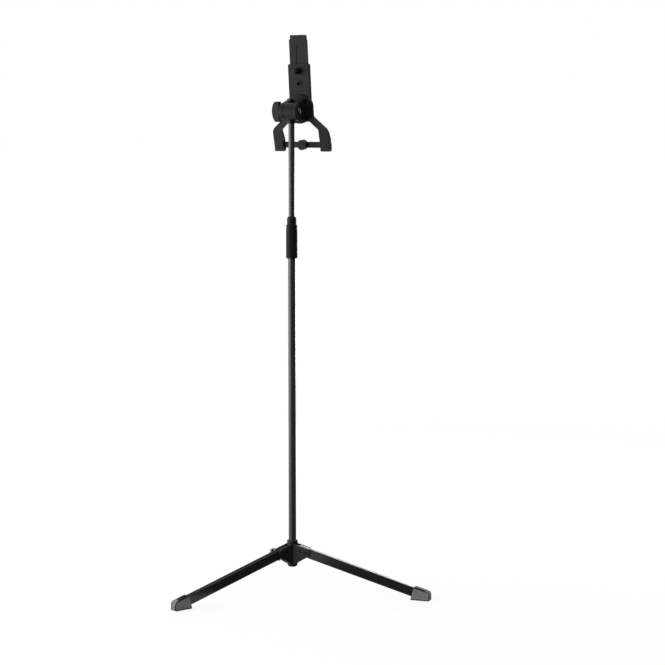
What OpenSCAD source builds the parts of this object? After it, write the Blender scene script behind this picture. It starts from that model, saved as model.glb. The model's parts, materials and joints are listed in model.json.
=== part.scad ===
// Floor stand for a flat handheld device: a base of three folding legs, a mast of two tubes
// with a twist clutch, and a tilting, swivelling holder with two lower hooks and a sliding upper hook.
// Millimetres, Z up. The origin is on the floor under the mast axis. The user is on the -Y side.

/* [Mast] */
// Outside diameter of the lower tube
lower_tube_d = 20; // [19:0.5:22]
// Outside diameter of the upper tube
upper_tube_d = 16; // [14:0.5:17]
// Wall of both tubes
tube_wall = 1.2; // [0.8:0.1:1.4]
// Length of the lower tube
lower_tube_len = 883; // [700:1:1000]
// Length of the upper tube
upper_tube_len = 720; // [520:1:800]
// Length of upper tube drawn out above the clutch
mast_extension = 243; // [60:1:420]
// Length of the guide bush inside the upper tube
bush_len = 24; // [12:1:40]

/* [Base] */
// Radius from the mast axis to the foot tips
leg_reach = 385; // [320:1:460]
// Direction of the first leg about the mast, in degrees
leg_turn = 70.45; // [0:0.05:120]
// Height of a leg tube
leg_h = 25; // [20:0.5:28]
// Width of a leg tube
leg_w = 16; // [13:0.5:17]
// Wall of a leg tube
leg_wall = 1.5; // [1:0.1:2]
// Radius of the leg pivots
pivot_r = 40.5; // [38:0.5:44]
// Height of the leg pivots
pivot_z = 100.5; // [95:0.5:110]
// Distance from a leg's pivot to its lock button
lock_pitch = 13; // [11:0.5:14]
// Diameter of the lock buttons
lock_d = 6; // [4:0.5:7]
// Diameter of the pivot rivets
rivet_d = 6; // [4:0.5:8]
// Thickness of the hub cheeks
cheek_t = 4; // [3:0.25:5]
// Outside diameter of the hub core
hub_d = 28; // [26:0.25:28.5]
// Outside diameter of the hub collar
collar_d = 28.7; // [28.5:0.1:30]
// Height of the hub collar
collar_h = 13; // [8:0.5:18]
// Height of the hub's lower face above the floor
hub_foot_z = 67; // [62:0.5:72]
// Height of the hub core below the collar
hub_core_h = 51; // [46:0.5:56]
// Diameter of the plug under the hub
plug_d = 26; // [22.5:0.5:28]
// Height of the plug under the hub
plug_h = 7; // [5:0.5:10]
// Width of a foot cap at the floor
foot_w = 27; // [24:0.5:30]
// Wall of a foot cap above the leg
foot_wall = 2.6; // [2:0.1:4]
// Length of a foot cap beyond the end of its leg tube
foot_nose = 35; // [30:0.5:42]
// Length of leg tube that a foot cap covers
foot_overlap = 11; // [6:0.5:14]
// Thickness of a foot cap's sole under the leg tube
foot_sole = 4.5; // [3:0.25:6]

/* [Clutch] */
// Diameter of the clutch grip
grip_d = 30; // [28.5:0.25:34]
// Length of the clutch grip
grip_len = 87; // [70:1:100]
// Height of the clutch grip above the end of the lower tube
grip_rise = 16.5; // [12:0.5:20]
// Number of grooves around the clutch grip
grip_grooves = 18; // [12:1:24]
// Diameter of the collet nose
nose_d = 24.8; // [24:0.2:27]
// Height of the collet nose
nose_h = 20.5; // [16:0.5:26]

/* [Tilt head] */
// Width of the middle knuckle
knuckle_w = 26; // [22:0.5:32]
// Radius of the knuckles
knuckle_r = 23.5; // [20:0.25:24]
// Width of each outer knuckle
ear_w = 12; // [9:0.5:15]
// Thickness of the friction washers beside the middle knuckle
washer_t = 0.6; // [0.5:0.1:1]
// Depth of the tube socket below the tilt axis
socket_drop = 30; // [27:0.5:36]
// Outside diameter of the tube socket
socket_d = 23; // [21:0.5:25]
// Diameter of the tilt bolt
bolt_d = 8; // [6:0.5:9]
// Diameter of the tilt bolt's head
bolt_head_d = 18; // [14:0.5:20]
// Thickness of the tilt bolt's head
bolt_head_h = 3.5; // [2.5:0.25:5]
// Depth of the recess around the tilt bolt's head
bolt_recess = 4.5; // [3:0.25:6]
// Length of the wing knob's bar
wing_len = 53; // [40:1:54]
// Width of the wing knob's bar
wing_w = 15; // [12:0.5:18]
// Thickness of the wing knob's bar in the middle
wing_t = 21; // [15:0.5:24]
// Diameter of the wing knob's neck
neck_d = 19; // [17:0.5:22]
// Length of the wing knob's neck
neck_len = 9; // [8:0.5:14]
// Radius of the dome behind the holder
dome_r = 38.5; // [37:0.25:41]
// Rise of the dome's curved back
dome_bulge = 10; // [9:0.25:11]
// Height of the dome's middle above the tilt axis
dome_up = 4; // [0:0.5:6]
// Gap between the middle knuckle and the dome
dome_gap = 1.5; // [1:0.1:3]
// Thickness of the dome's turning cap at its middle
cap_t = 8.5; // [7:0.25:9]
// Diameter of the swivel screw
swivel_d = 8; // [6:0.5:8]

/* [Holder] */
// Lean of the holder away from the user, in degrees
holder_lean = 5; // [0:0.05:20]
// Distance from the tilt axis to the back of the guide housing
standoff = 41.5; // [41:0.25:45]
// Wall of the guide housing beside the slide arm
housing_wall = 3; // [2.6:0.1:5]
// Height of the housing's top above the tilt axis
housing_top = 120; // [112:1:124]
// Depth of the housing's bottom below the tilt axis
housing_drop = 30; // [28:0.5:34]
// Thickness of the housing's back wall
back_wall = 5; // [4.5:0.1:6]
// Width of the slide arm
slide_w = 55; // [52:0.2:58]
// Thickness of the slide arm
slide_t = 4.2; // [3:0.1:5]
// Depth of the groove in the slide arm's back
groove_depth = 1.2; // [0.8:0.1:1.6]
// Width of the groove in the slide arm's back
groove_w = 13; // [10:0.5:16]
// Thickness of the front cover
cover_t = 2.2; // [1.5:0.1:3]
// Thickness of the rubber pads
pad_t = 2; // [1:0.1:3]
// Height of the upper hook's seat above the tilt axis
grip_top = 183.7; // [178:0.1:200]
// Depth of the lower hooks' seat below the tilt axis
grip_bottom = 97; // [94:0.5:110]
// Clear depth of the hooks, front to back
hook_depth = 9.5; // [8:0.5:16]
// Thickness of the hook lips
lip_t = 3.25; // [2.5:0.25:5]
// Height of the hook lips
lip_h = 12; // [8:0.5:16]
// Thickness of the lower hooks' floor
ledge_t = 8.5; // [6:0.5:12]
// Thickness of the upper hook's roof
roof_t = 9; // [8:0.5:14]
// Width of the upper hook
upper_hook_w = 30; // [24:0.5:40]
// Width of the tongue behind the upper hook
tongue_w = 47.5; // [42:0.5:52]
// Distance between the middles of the two lower arms
arm_spread = 141; // [134:1:150]
// Width of an arm below the elbow
arm_w = 26.5; // [20:0.5:30]
// Width of an arm above the elbow
limb_w = 17.5; // [14:0.5:20]
// Slope of an arm above the elbow, in degrees
limb_slope = 39.5; // [36:0.5:42]
// Width of a lower hook
lower_hook_w = 11; // [8:0.5:16]
// Distance from the middle to the wishbone's shoulders
shoulder_x = 42.5; // [40:0.5:46]
// Depth of the elbows below the tilt axis
elbow_drop = 49.5; // [47:0.5:53]
// Distance from the tilt axis to the back of the elbows
elbow_back = 35; // [34.5:0.25:37]
// Distance from the tilt axis to the back of the lower hooks
hook_back = 41; // [39:0.5:43]
// Depth of the cross brace's middle below the tilt axis
brace_drop = 90.5; // [86:0.5:93]
// Height of the cross brace
brace_h = 15.6; // [12:0.2:18]
// Thickness of the cross brace
brace_t = 6; // [4:0.25:7]
// Diameter of the cross brace's round boss
brace_boss_d = 27; // [20:0.5:32]
// Height of the clamp screw above the tilt axis
clamp_up = 102.6; // [96:0.2:106]
// Height of the stop peg above the tilt axis
stop_up = 69.2; // [60:0.2:72]
// Diameter of the clamp screw
clamp_d = 6; // [4:0.5:8]
// Diameter of the clamp knob
clamp_knob_d = 15.5; // [14:0.5:20]
// Length of the clamp knob
clamp_knob_len = 16; // [12:0.5:17]

/* [Hidden] */
$fn = 96;
e = 0.5;
run_gap = 0.05;
seat_gap = 0.02;
slip_gap = 0.2;
turn_gap = 0.3;
free_gap = 0.4;
edge = 1;
soft_edge = 1.5;

// Base: heights and the line of a leg
leg_end_r = leg_reach - foot_nose;
leg_end_z = foot_sole + leg_h / 2;
leg_slope = atan2(pivot_z - leg_end_z, leg_end_r - pivot_r);
leg_len = norm([leg_end_r - pivot_r, pivot_z - leg_end_z]);
leg_inner_r = pivot_r - collar_d / 2 - 1;
leg_bore_w = leg_w - 2 * leg_wall;
leg_bore_h = leg_h - 2 * leg_wall;
leg_corner = 2.5;
along = [cos(leg_slope), -sin(leg_slope)];
across = [sin(leg_slope), cos(leg_slope)];
slot_w = leg_w + 2 * free_gap;
cheeks_w = slot_w + 2 * cheek_t;
cheek_lift = 1.5;
cheek_root = hub_d / 2 - 2;
cheek_inner = hub_d / 5;
collar_z = hub_foot_z + hub_core_h;
rivet_head_h = 1.6;
rivet_head_d = rivet_d + 3;
lower_bore_r = lower_tube_d / 2 - tube_wall;
upper_bore_r = upper_tube_d / 2 - tube_wall;
plug_spigot = 16;
plug_round = plug_h - 2;
plug_dimple_d = plug_d / 3;
end_fill = 16;
button_proud = 0.2;
foot_taper = 2.5;
foot_spigot = 30;
foot_nose_r = 17;
foot_corner_r = 6;
foot_crown_r = 4.5;
foot_top = leg_h / 2 + foot_wall;
foot_fall = 2 * leg_h;
foot_edge_r = 2;
foot_rim_r = 1.5;

// Clutch: heights up the mast
lower_tube_top = hub_foot_z + lower_tube_len;
grip_top_z = lower_tube_top + grip_rise;
grip_foot_z = grip_top_z - grip_len;
grip_lip = 4;
grip_foot_inset = 7;
grip_rim = 4;
grip_flare = 0.3;
grip_plain = 14;
grip_groove_r = 1.3;
ring_groove = 1;
thread_r = lower_tube_d / 2 + 2.5;
collet_neck_r = lower_tube_d / 2 + 0.5;
collet_cut = 1.6;
collet_bore_r = upper_tube_d / 2 + run_gap;
collet_foot_z = lower_tube_top + run_gap;
nose_round = 1.5;
nose_cone = 5;
nose_taper = 1.6;
nose_foot_z = grip_top_z + free_gap;
nose_top_z = grip_top_z + nose_h;

// Tilt head: the tilt axis stands above the clutch by the drawn-out tube and the socket
tilt_z = nose_top_z + mast_extension + socket_drop;
tube_top_z = tilt_z - bolt_d / 2 - 4;
upper_tube_foot = tube_top_z - upper_tube_len;
bush_flange = 6;
mid_r = knuckle_r - 0.5;
ear_in = knuckle_w / 2 + washer_t;
ear_out = ear_in + ear_w;
pin_d = 3;
pin_z = pin_d - socket_drop;
pin_sunk = 0.3;
bolt_key_depth = 2;
bolt_key_d = 0.7 * bolt_d;
bolt_head_round = 2;
bolt_seat = ear_out - bolt_recess;
knob_in = ear_out + free_gap;
wing_in = knob_in + neck_len;
wing_out = wing_in + wing_t;
insert_d = bolt_d + 5;
insert_len = neck_len + 4;
bolt_tip = knob_in + insert_len - 1;
wing_end_t = wing_t * 0.6;
wing_round = wing_w / 2 - 1;

// Dome: all distances are behind the tilt axis, towards the user
dome_apex = mid_r + dome_gap;
cap_split = dome_apex + cap_t;
dome_ball = (dome_r * dome_r + dome_bulge * dome_bulge) / (2 * dome_bulge);
dome_edge_r = 4;
dome_mid = -dome_apex - dome_ball;
dome_edge_y = dome_mid + sqrt(pow(dome_ball - dome_edge_r, 2) - pow(dome_r - dome_edge_r, 2));
dome_touch_r = (dome_r - dome_edge_r) * dome_ball / (dome_ball - dome_edge_r);
ear_foot = 28;
swivel_web = 4.5;
swivel_washer_t = 1;
swivel_washer_d = swivel_d + 9;
swivel_head_d = swivel_d + 6;
swivel_head_h = 4;
swivel_pocket_d = swivel_washer_d + 1;
swivel_seat = cap_split + turn_gap + swivel_web;
swivel_head_y = -swivel_seat - swivel_washer_t;
cap_skin = 1.5;
swivel_tip = dome_apex + cap_skin + e;
swivel_key_d = 0.8 * swivel_d;
swivel_key_depth = 2.5;

// Holder: layers from the back wall to the pads
floor_y = -standoff - back_wall;
slide_back = floor_y - slip_gap;
slide_front = slide_back - slide_t;
cover_back = slide_front - slip_gap;
cover_front = cover_back - cover_t;
rest_y = cover_front - pad_t;
lip_in = rest_y - hook_depth;
lip_out = lip_in - lip_t;
slide_foot = 25;
slide_down = 45;
channel_foot = slide_foot - slide_down - 1;
seat_z = grip_top + pad_t;
roof_z = seat_z + roof_t;
shoulder_rise = 1.2;
shoulder_z = grip_top + shoulder_rise;
groove_top = grip_top - 16.5;
groove_foot = slide_foot + 4;
ledge_z = -grip_bottom - pad_t;
hook_foot = ledge_z - ledge_t;
arm_x = arm_spread / 2;
arm_in = arm_x - arm_w / 2;
arm_out = arm_x + arm_w / 2;
shoulder_top = dome_up + 30;
shoulder_round = 22;
knee_z = elbow_drop + 5;
elbow_round = 12;
elbow_r = 20;
crook_r = 6;
armpit_r = 8;
bend_round = 30;
bend_lift = 4;
heel_clear = 4;
heel_round = 20;
toe_round = 5;
hook_foot_round = 3;
tenon = 4;
tenon_h = 8;
tenon_t = 3;
brace_back = -hook_back - 6;
boss_step = 7;
ring_d = 18;
ring_depth = 0.8;
ring_w = 2;
clamp_boss_h = 3;
clamp_boss_d = clamp_d + 13;
clamp_bush_d = clamp_d + 4;
clamp_back = -standoff + clamp_boss_h;
clamp_knob_in = clamp_back + free_gap;
stop_boss_h = 2.5;
stop_boss_d = 17;
stop_d = 6;
stop_sunk = 0.7;
groove_floor = slide_back - groove_depth;
housing_w = slide_w + 2 * (slip_gap + housing_wall);
rail_x = slide_w / 2 + slip_gap + housing_wall / 2;
cover_screw_d = 1.4;
cover_head_d = 2.2;
cover_head_h = 0.8;
cover_screw_len = 5;
high_screw_z = housing_top - 8;
mid_screw_z = housing_top / 3;
low_screw_x = 16;
low_screw_z = (channel_foot - housing_drop) / 2;
frame_screw_d = 4;
frame_head_d = 8;
frame_head_h = 2.2;
frame_screw_len = 10;
frame_screw_at = 18.5;
pad_inset = 1.5;
strip_h = 10;
strip_w = 46;
heel_h = 20;
housing_round = 8;
housing_top_round = 4;
pad_round = 3;
strip_inset = 18;
upper_strip_z = housing_top - strip_inset;
lower_strip_z = strip_inset - housing_drop;
slide_round = 4;
slide_shoulder_r = 5;
hook_root = 4;
flutes = 10;
flute_d = 3;
flute_out = 0.6;
knob_round = 4;
knob_floor = 4;

black = "#232324";
satin = "#1b1b1c";
grey = "#6b6b6c";
steel = "#a9abad";
rubber = "#2c2c2c";

// Corner rounding: each corner is [x, y, radius], listed anticlockwise
function unit(v) = v / norm(v);
function flat(p) = [p[0], p[1]];
function before(p, i) = unit(flat(p[(i + len(p) - 1) % len(p)]) - flat(p[i]));
function after(p, i) = unit(flat(p[(i + 1) % len(p)]) - flat(p[i]));
function half_angle(p, i) = acos(before(p, i) * after(p, i)) / 2;
function reach(p, i) = p[i][2] / tan(half_angle(p, i));
function outward(p, i) = cross(before(p, i), after(p, i)) < 0;
function touch_in(p, i) = flat(p[i]) + before(p, i) * reach(p, i);
function touch_out(p, i) = flat(p[i]) + after(p, i) * reach(p, i);
function arc_mid(p, i) =
    flat(p[i]) + unit(before(p, i) + after(p, i)) * p[i][2] / sin(half_angle(p, i));
function cut_corner(p, i) =
    p[i][2] > 0 && outward(p, i) ? [touch_in(p, i), touch_out(p, i)] : [flat(p[i])];

module rounded(p) {
    polygon([for (i = [0 : len(p) - 1]) each cut_corner(p, i)]);
    for (i = [0 : len(p) - 1])
        if (p[i][2] > 0)
            corner(p, i);
}

module corner(p, i) {
    wedge = [touch_in(p, i), flat(p[i]), touch_out(p, i)];
    if (outward(p, i))
        intersection() {
            polygon(wedge);
            translate(arc_mid(p, i)) circle(p[i][2]);
        }
    else
        difference() {
            polygon(wedge);
            translate(arc_mid(p, i)) circle(p[i][2]);
        }
}

module rounded_box(w, h, r)
    rounded([[-w / 2, -h / 2, r], [w / 2, -h / 2, r], [w / 2, h / 2, r], [-w / 2, h / 2, r]]);

// Sketches are drawn in the plane named and pushed along the third axis
module along_x(from, to) translate([from, 0, 0]) rotate([90, 0, 90]) linear_extrude(to - from) children();
module along_y(from, to) translate([0, to, 0]) rotate([90, 0, 0]) linear_extrude(to - from) children();
module along_z(from, to) translate([0, 0, from]) linear_extrude(to - from) children();
module rod_x(from, to, d) translate([from, 0, 0]) rotate([0, 90, 0]) cylinder(h = to - from, d = d);
module rod_y(from, to, d) translate([0, from, 0]) rotate([-90, 0, 0]) cylinder(h = to - from, d = d);
module rod_z(from, to, d) translate([0, 0, from]) cylinder(h = to - from, d = d);
module about_y() rotate([-90, 0, 0]) rotate_extrude() children();

module leg_side(i) rotate([0, 0, leg_turn + 120 * i]) children();
module leg_line() translate([pivot_r, 0, pivot_z]) rotate([0, leg_slope, 0]) children();
module at_tilt() translate([0, 0, tilt_z]) children();
module holder_place() at_tilt() rotate([-holder_lean, 0, 0]) children();
module dome_lift() translate([0, 0, dome_up]) children();

// Base: the hub is one moulding with three pairs of cheeks around the legs
function leg_point(s, n) = [pivot_r, pivot_z] + along * s + across * n;
function tangent_from(q, c, r) =
    let (d = c - q, l = norm(d), a = asin(r / l), t = sqrt(l * l - r * r), u = d / l)
    q + t * [u[0] * cos(a) + u[1] * sin(a), u[1] * cos(a) - u[0] * sin(a)];
function meet(p, d, q, f) = p + d * cross(q - p, f) / cross(d, f);

module cheek_outline() {
    low = [cheek_root, hub_foot_z + cheek_lift];
    rise = tangent_from(low, [pivot_r, pivot_z], leg_h / 2) - low;
    top = leg_point(0, leg_h / 2);
    tip = meet(low, rise, top, along);
    inner_top = top[1] + (top[0] - cheek_inner) * tan(leg_slope);
    rounded([
        [cheek_inner, low[1], 0], [low[0], low[1], 0],
        [tip[0], tip[1], leg_h / 2], [cheek_inner, inner_top, 0]]);
}

module leg_hub() color(black) difference() {
    union() {
        rod_z(hub_foot_z, collar_z, hub_d);
        rod_z(collar_z, collar_z + collar_h - edge, collar_d);
        translate([0, 0, collar_z + collar_h - edge])
            cylinder(h = edge, d1 = collar_d, d2 = collar_d - 2 * edge);
        for (i = [0 : 2])
            leg_side(i) along_y(-cheeks_w / 2, cheeks_w / 2) cheek_outline();
    }
    rod_z(hub_foot_z - e, collar_z + collar_h + e, lower_tube_d + 2 * seat_gap);
    for (i = [0 : 2])
        leg_side(i) hub_cuts();
}

module hub_cuts() {
    difference() {
        translate([0, -slot_w / 2, hub_foot_z - e]) cube([2 * pivot_r, slot_w, hub_core_h + leg_h]);
        rod_z(hub_foot_z - 2 * e, hub_foot_z + hub_core_h + 2 * leg_h, collar_d + 2 * slip_gap);
    }
    leg_line() rod_y(-cheeks_w, cheeks_w, rivet_d + 2 * seat_gap);
    leg_line() translate([-lock_pitch, 0, 0]) rod_y(-cheeks_w, cheeks_w, lock_d + 2 * slip_gap);
}

module base_plug() color(black) {
    difference() {
        rotate_extrude() rounded([
            [0, hub_foot_z - plug_h, 0], [plug_d / 2, hub_foot_z - plug_h, plug_round],
            [plug_d / 2, hub_foot_z, 0], [0, hub_foot_z, 0]]);
        rod_z(hub_foot_z - plug_h - e, hub_foot_z - plug_h + edge, plug_dimple_d);
    }
    rod_z(hub_foot_z, hub_foot_z + plug_spigot, 2 * (lower_bore_r - seat_gap));
}

module leg_rivets() color(steel) for (i = [0 : 2]) leg_side(i) leg_line() {
    rod_y(-cheeks_w / 2, cheeks_w / 2, rivet_d);
    for (m = [0, 1])
        mirror([0, m, 0]) translate([0, cheeks_w / 2, 0]) rotate([-90, 0, 0])
            cylinder(h = rivet_head_h, d1 = rivet_head_d, d2 = rivet_d);
}

module lower_tube() color(satin) difference() {
    rod_z(hub_foot_z, lower_tube_top, lower_tube_d);
    rod_z(hub_foot_z - e, lower_tube_top + e, 2 * lower_bore_r);
}

// Legs: a rectangular tube with a plastic pivot end and a boot-shaped foot
module leg_round(r) {
    rod_y(-leg_w, leg_w, 2 * r);
    translate([0, -leg_w, -leg_h]) cube([2 * leg_len, 2 * leg_w, 2 * leg_h]);
}

module leg_tube(i) color(satin) leg_side(i) leg_line() difference() {
    intersection() {
        along_x(-leg_inner_r, leg_len) rounded_box(leg_w, leg_h, leg_corner);
        leg_round(leg_inner_r);
    }
    along_x(-leg_inner_r - e, leg_len + e)
        rounded_box(leg_bore_w, leg_bore_h, leg_corner - leg_wall);
    rod_y(-leg_w, leg_w, rivet_d + 2 * run_gap);
    translate([-lock_pitch, 0, 0]) rod_y(-leg_w, leg_w, lock_d);
}

module leg_end(i) color(black) leg_side(i) leg_line() difference() {
    union() {
        intersection() {
            along_x(-leg_inner_r, end_fill)
                rounded_box(leg_bore_w - 2 * seat_gap, leg_bore_h - 2 * seat_gap, leg_corner - leg_wall);
            leg_round(leg_inner_r - edge);
        }
        translate([-lock_pitch, 0, 0])
            rod_y(-leg_w / 2 - button_proud, leg_w / 2 + button_proud, lock_d - 2 * seat_gap);
    }
    rod_y(-leg_w, leg_w, rivet_d + 2 * run_gap);
}

module foot_outline() {
    start = leg_len - foot_overlap;
    top = leg_point(start, foot_top);
    heel = top - across * top[1] / across[1];
    toe_z = top[1] - (leg_reach - top[0]) * tan(leg_slope);
    rounded([
        [heel[0], heel[1], soft_edge], [leg_reach, 0, foot_edge_r],
        [leg_reach, toe_z, foot_nose_r], [top[0], top[1], foot_rim_r]]);
}

module foot_shell() intersection() {
    along_y(-foot_w / 2, foot_w / 2) foot_outline();
    leg_line() along_x(0, leg_len + 2 * foot_nose) rounded([
        [-foot_w / 2, -foot_fall, 0], [foot_w / 2, -foot_fall, 0],
        [foot_w / 2 - foot_taper, foot_top, foot_crown_r],
        [-foot_w / 2 + foot_taper, foot_top, foot_crown_r]]);
    along_z(-e, pivot_z) rounded([
        [pivot_r, -foot_w / 2, 0], [leg_reach, -foot_w / 2, foot_corner_r],
        [leg_reach, foot_w / 2, foot_corner_r], [pivot_r, foot_w / 2, 0]]);
}

module foot_cap(i) color(grey) leg_side(i) {
    difference() {
        foot_shell();
        leg_line() along_x(leg_len - 2 * foot_overlap, leg_len)
            rounded_box(leg_w + 2 * seat_gap, leg_h + 2 * seat_gap, leg_corner);
    }
    leg_line() along_x(leg_len - foot_spigot, leg_len + e)
        rounded_box(leg_bore_w - 2 * seat_gap, leg_bore_h - 2 * seat_gap, leg_corner - leg_wall);
}

module leg_tube_1() leg_tube(0);
module leg_tube_2() leg_tube(1);
module leg_tube_3() leg_tube(2);
module leg_end_1() leg_end(0);
module leg_end_2() leg_end(1);
module leg_end_3() leg_end(2);
module foot_cap_1() foot_cap(0);
module foot_cap_2() foot_cap(1);
module foot_cap_3() foot_cap(2);

// Clutch: a threaded body on the lower tube, a split collet, and a ribbed grip that draws the collet down
module clutch_body() color(black) difference() {
    rod_z(grip_foot_z + grip_foot_inset, grip_top_z - grip_lip - free_gap, 2 * thread_r);
    rod_z(grip_foot_z, lower_tube_top, lower_tube_d + 2 * seat_gap);
    rod_z(lower_tube_top - e, grip_top_z, 2 * (collet_neck_r + run_gap));
}

module clutch_collet() color(black) difference() {
    rotate_extrude() rounded([
        [collet_bore_r, collet_foot_z, 0], [collet_neck_r, collet_foot_z, 0],
        [collet_neck_r, nose_foot_z, 0], [nose_d / 2, nose_foot_z, edge],
        [nose_d / 2, nose_top_z - nose_cone, nose_round],
        [nose_d / 2 - nose_taper, nose_top_z, nose_round], [collet_bore_r, nose_top_z, edge / 2]]);
    translate([0, -collet_cut / 2, lower_tube_top - e])
        cube([nose_d, collet_cut, nose_h + grip_rise + 2 * e]);
}

module grip_ribbed() difference() {
    circle(d = grip_d);
    for (i = [0 : grip_grooves - 1])
        rotate(360 / grip_grooves * i) translate([grip_d / 2 + grip_groove_r / 3, 0]) circle(grip_groove_r);
}

module clutch_sleeve() color(black) difference() {
    union() {
        translate([0, 0, grip_foot_z])
            cylinder(h = grip_rim / 2, d1 = grip_d - edge, d2 = grip_d + 2 * grip_flare);
        rod_z(grip_foot_z + grip_rim / 2, grip_foot_z + grip_rim, grip_d + 2 * grip_flare);
        along_z(grip_foot_z + grip_rim, grip_top_z - grip_plain) grip_ribbed();
        rod_z(grip_top_z - grip_plain, grip_top_z - edge, grip_d);
        translate([0, 0, grip_top_z - edge]) cylinder(h = edge, d1 = grip_d, d2 = grip_d - 2 * edge);
    }
    rod_z(grip_foot_z - e, grip_foot_z + grip_foot_inset - 1, lower_tube_d + 2 * turn_gap);
    rod_z(grip_foot_z + grip_foot_inset - 1, grip_top_z - grip_lip, 2 * (thread_r + run_gap));
    rod_z(grip_top_z - grip_lip - e, grip_top_z + e, 2 * (collet_neck_r + turn_gap));
    for (k = [1, 2])
        translate([0, 0, grip_top_z - grip_plain * k / 3]) rotate_extrude()
            translate([grip_d / 2, 0]) circle(ring_groove);
}

// Mast: the upper tube turns on a bush that slides in the lower tube
module guide_bush() color(black) {
    rod_z(upper_tube_foot - bush_flange, upper_tube_foot - run_gap, 2 * (lower_bore_r - run_gap));
    rod_z(upper_tube_foot - bush_flange, upper_tube_foot + bush_len, 2 * (upper_bore_r - run_gap));
}

module upper_tube() color(satin) difference() {
    rod_z(upper_tube_foot, tube_top_z, upper_tube_d);
    rod_z(upper_tube_foot - e, tube_top_z + e, 2 * upper_bore_r);
    at_tilt() translate([0, 0, pin_z]) rod_x(-upper_tube_d, upper_tube_d, pin_d + 2 * seat_gap);
}

module tilt_knuckle() color(black) at_tilt() difference() {
    union() {
        rod_x(-knuckle_w / 2, knuckle_w / 2, 2 * mid_r);
        rod_z(-socket_drop, 0, socket_d);
    }
    rod_x(-knuckle_w, knuckle_w, bolt_d + 2 * run_gap);
    rod_z(-socket_drop - e, tube_top_z - tilt_z, upper_tube_d + 2 * seat_gap);
    translate([0, 0, pin_z]) rod_x(-socket_d, socket_d, pin_d + 2 * seat_gap);
}

module knuckle_pin() color(steel) at_tilt() translate([0, 0, pin_z])
    rod_x(-socket_d / 2 + pin_sunk, socket_d / 2 - pin_sunk, pin_d);

// Tilt head: the dome is cut by a flat joint face, and its cap carries the two outer knuckles
module dome_sketch() {
    intersection() {
        translate([0, dome_mid]) circle(dome_ball);
        translate([0, -standoff]) square([dome_touch_r, standoff]);
    }
    translate([dome_r - dome_edge_r, dome_edge_y]) circle(dome_edge_r);
    translate([0, -standoff]) square([dome_r, standoff + dome_edge_y]);
}

module ear_outline() {
    circle(knuckle_r);
    polygon([
        [0, -knuckle_r], [0, knuckle_r],
        [-cap_split, dome_up + ear_foot], [-cap_split, dome_up - ear_foot]]);
}

module tilt_bracket() color(black) holder_place() difference() {
    union() {
        dome_lift() about_y() intersection() {
            dome_sketch();
            translate([0, -cap_split]) square([dome_r, cap_split]);
        }
        for (m = [0, 1])
            mirror([m, 0, 0]) along_x(ear_in, ear_out) ear_outline();
    }
    rod_x(-ear_out - e, ear_out + e, bolt_d + 2 * seat_gap);
    rod_x(-ear_out - e, -bolt_seat, bolt_head_d + 2 * free_gap);
    dome_lift() rod_y(-cap_split - e, -dome_apex - cap_skin, swivel_d + 2 * seat_gap);
}

module tilt_bolt() color(steel) holder_place() {
    rod_x(-bolt_seat, bolt_tip, bolt_d);
    difference() {
        rotate([0, -90, 0]) translate([0, 0, bolt_seat]) rotate_extrude() rounded([
            [0, 0, 0], [bolt_head_d / 2, 0, 0],
            [bolt_head_d / 2, bolt_head_h, bolt_head_round], [0, bolt_head_h, 0]]);
        translate([-bolt_seat - bolt_head_h - e, 0, 0]) rotate([0, 90, 0])
            cylinder(h = bolt_key_depth + e, d = bolt_key_d, $fn = 6);
    }
}

module tilt_washers() color(rubber) holder_place() for (m = [0, 1]) mirror([m, 0, 0]) difference() {
    rod_x(knuckle_w / 2, ear_in, 2 * (mid_r - edge));
    rod_x(0, ear_out, bolt_d + 2 * seat_gap);
}

module swivel_screw() color(steel) holder_place() dome_lift() {
    rod_y(swivel_head_y, -swivel_tip, swivel_d);
    difference() {
        rod_y(swivel_head_y - swivel_head_h, swivel_head_y, swivel_head_d);
        translate([0, swivel_head_y - swivel_head_h - e, 0]) rotate([-90, 0, 0])
            cylinder(h = swivel_key_depth + e, d = swivel_key_d, $fn = 6);
    }
}

module swivel_washer() color(steel) holder_place() dome_lift() difference() {
    rod_y(swivel_head_y, -swivel_seat, swivel_washer_d);
    rod_y(swivel_head_y - e, 0, swivel_d + 2 * seat_gap);
}

module wing_side() {
    drop = wing_t - wing_end_t;
    bow = (wing_len * wing_len / 4 + drop * drop) / (2 * drop);
    intersection() {
        translate([wing_out - bow, 0]) circle(bow);
        translate([wing_in, -wing_len / 2 - e]) square([wing_t + e, wing_len + 2 * e]);
    }
}

module wing_knob() color(black) holder_place() difference() {
    union() {
        rod_x(knob_in, wing_in + e, neck_d);
        intersection() {
            along_y(-wing_w, wing_w) wing_side();
            along_x(wing_in, wing_out + e) rounded_box(wing_w, wing_len, wing_round);
        }
    }
    rod_x(knob_in - e, knob_in + insert_len, insert_d + 2 * seat_gap);
}

module knob_insert() color("#b59a5b") holder_place() difference() {
    rod_x(knob_in, knob_in + insert_len, insert_d);
    rod_x(knob_in - e, bolt_tip + free_gap, bolt_d + 2 * run_gap);
}

// Holder: the wishbone carries the dome and both lower arms; the arms lean forward below the elbows
module arms_face() for (m = [0, 1]) mirror([m, 0, 0]) {
    fall = tan(limb_slope);
    limb_v = limb_w / cos(limb_slope);
    elbow = [arm_out, -elbow_drop];
    rounded([
        [0, elbow[1] + arm_out * fall - limb_v, 0],
        [arm_in, elbow[1] + arm_w * fall - limb_v, crook_r],
        [arm_in, hook_foot, soft_edge], [arm_out, hook_foot, soft_edge],
        [elbow[0], elbow[1], elbow_r],
        [shoulder_x, elbow[1] + (arm_out - shoulder_x) * fall, armpit_r],
        [shoulder_x, shoulder_top, shoulder_round], [0, shoulder_top, 0]]);
}

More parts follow.
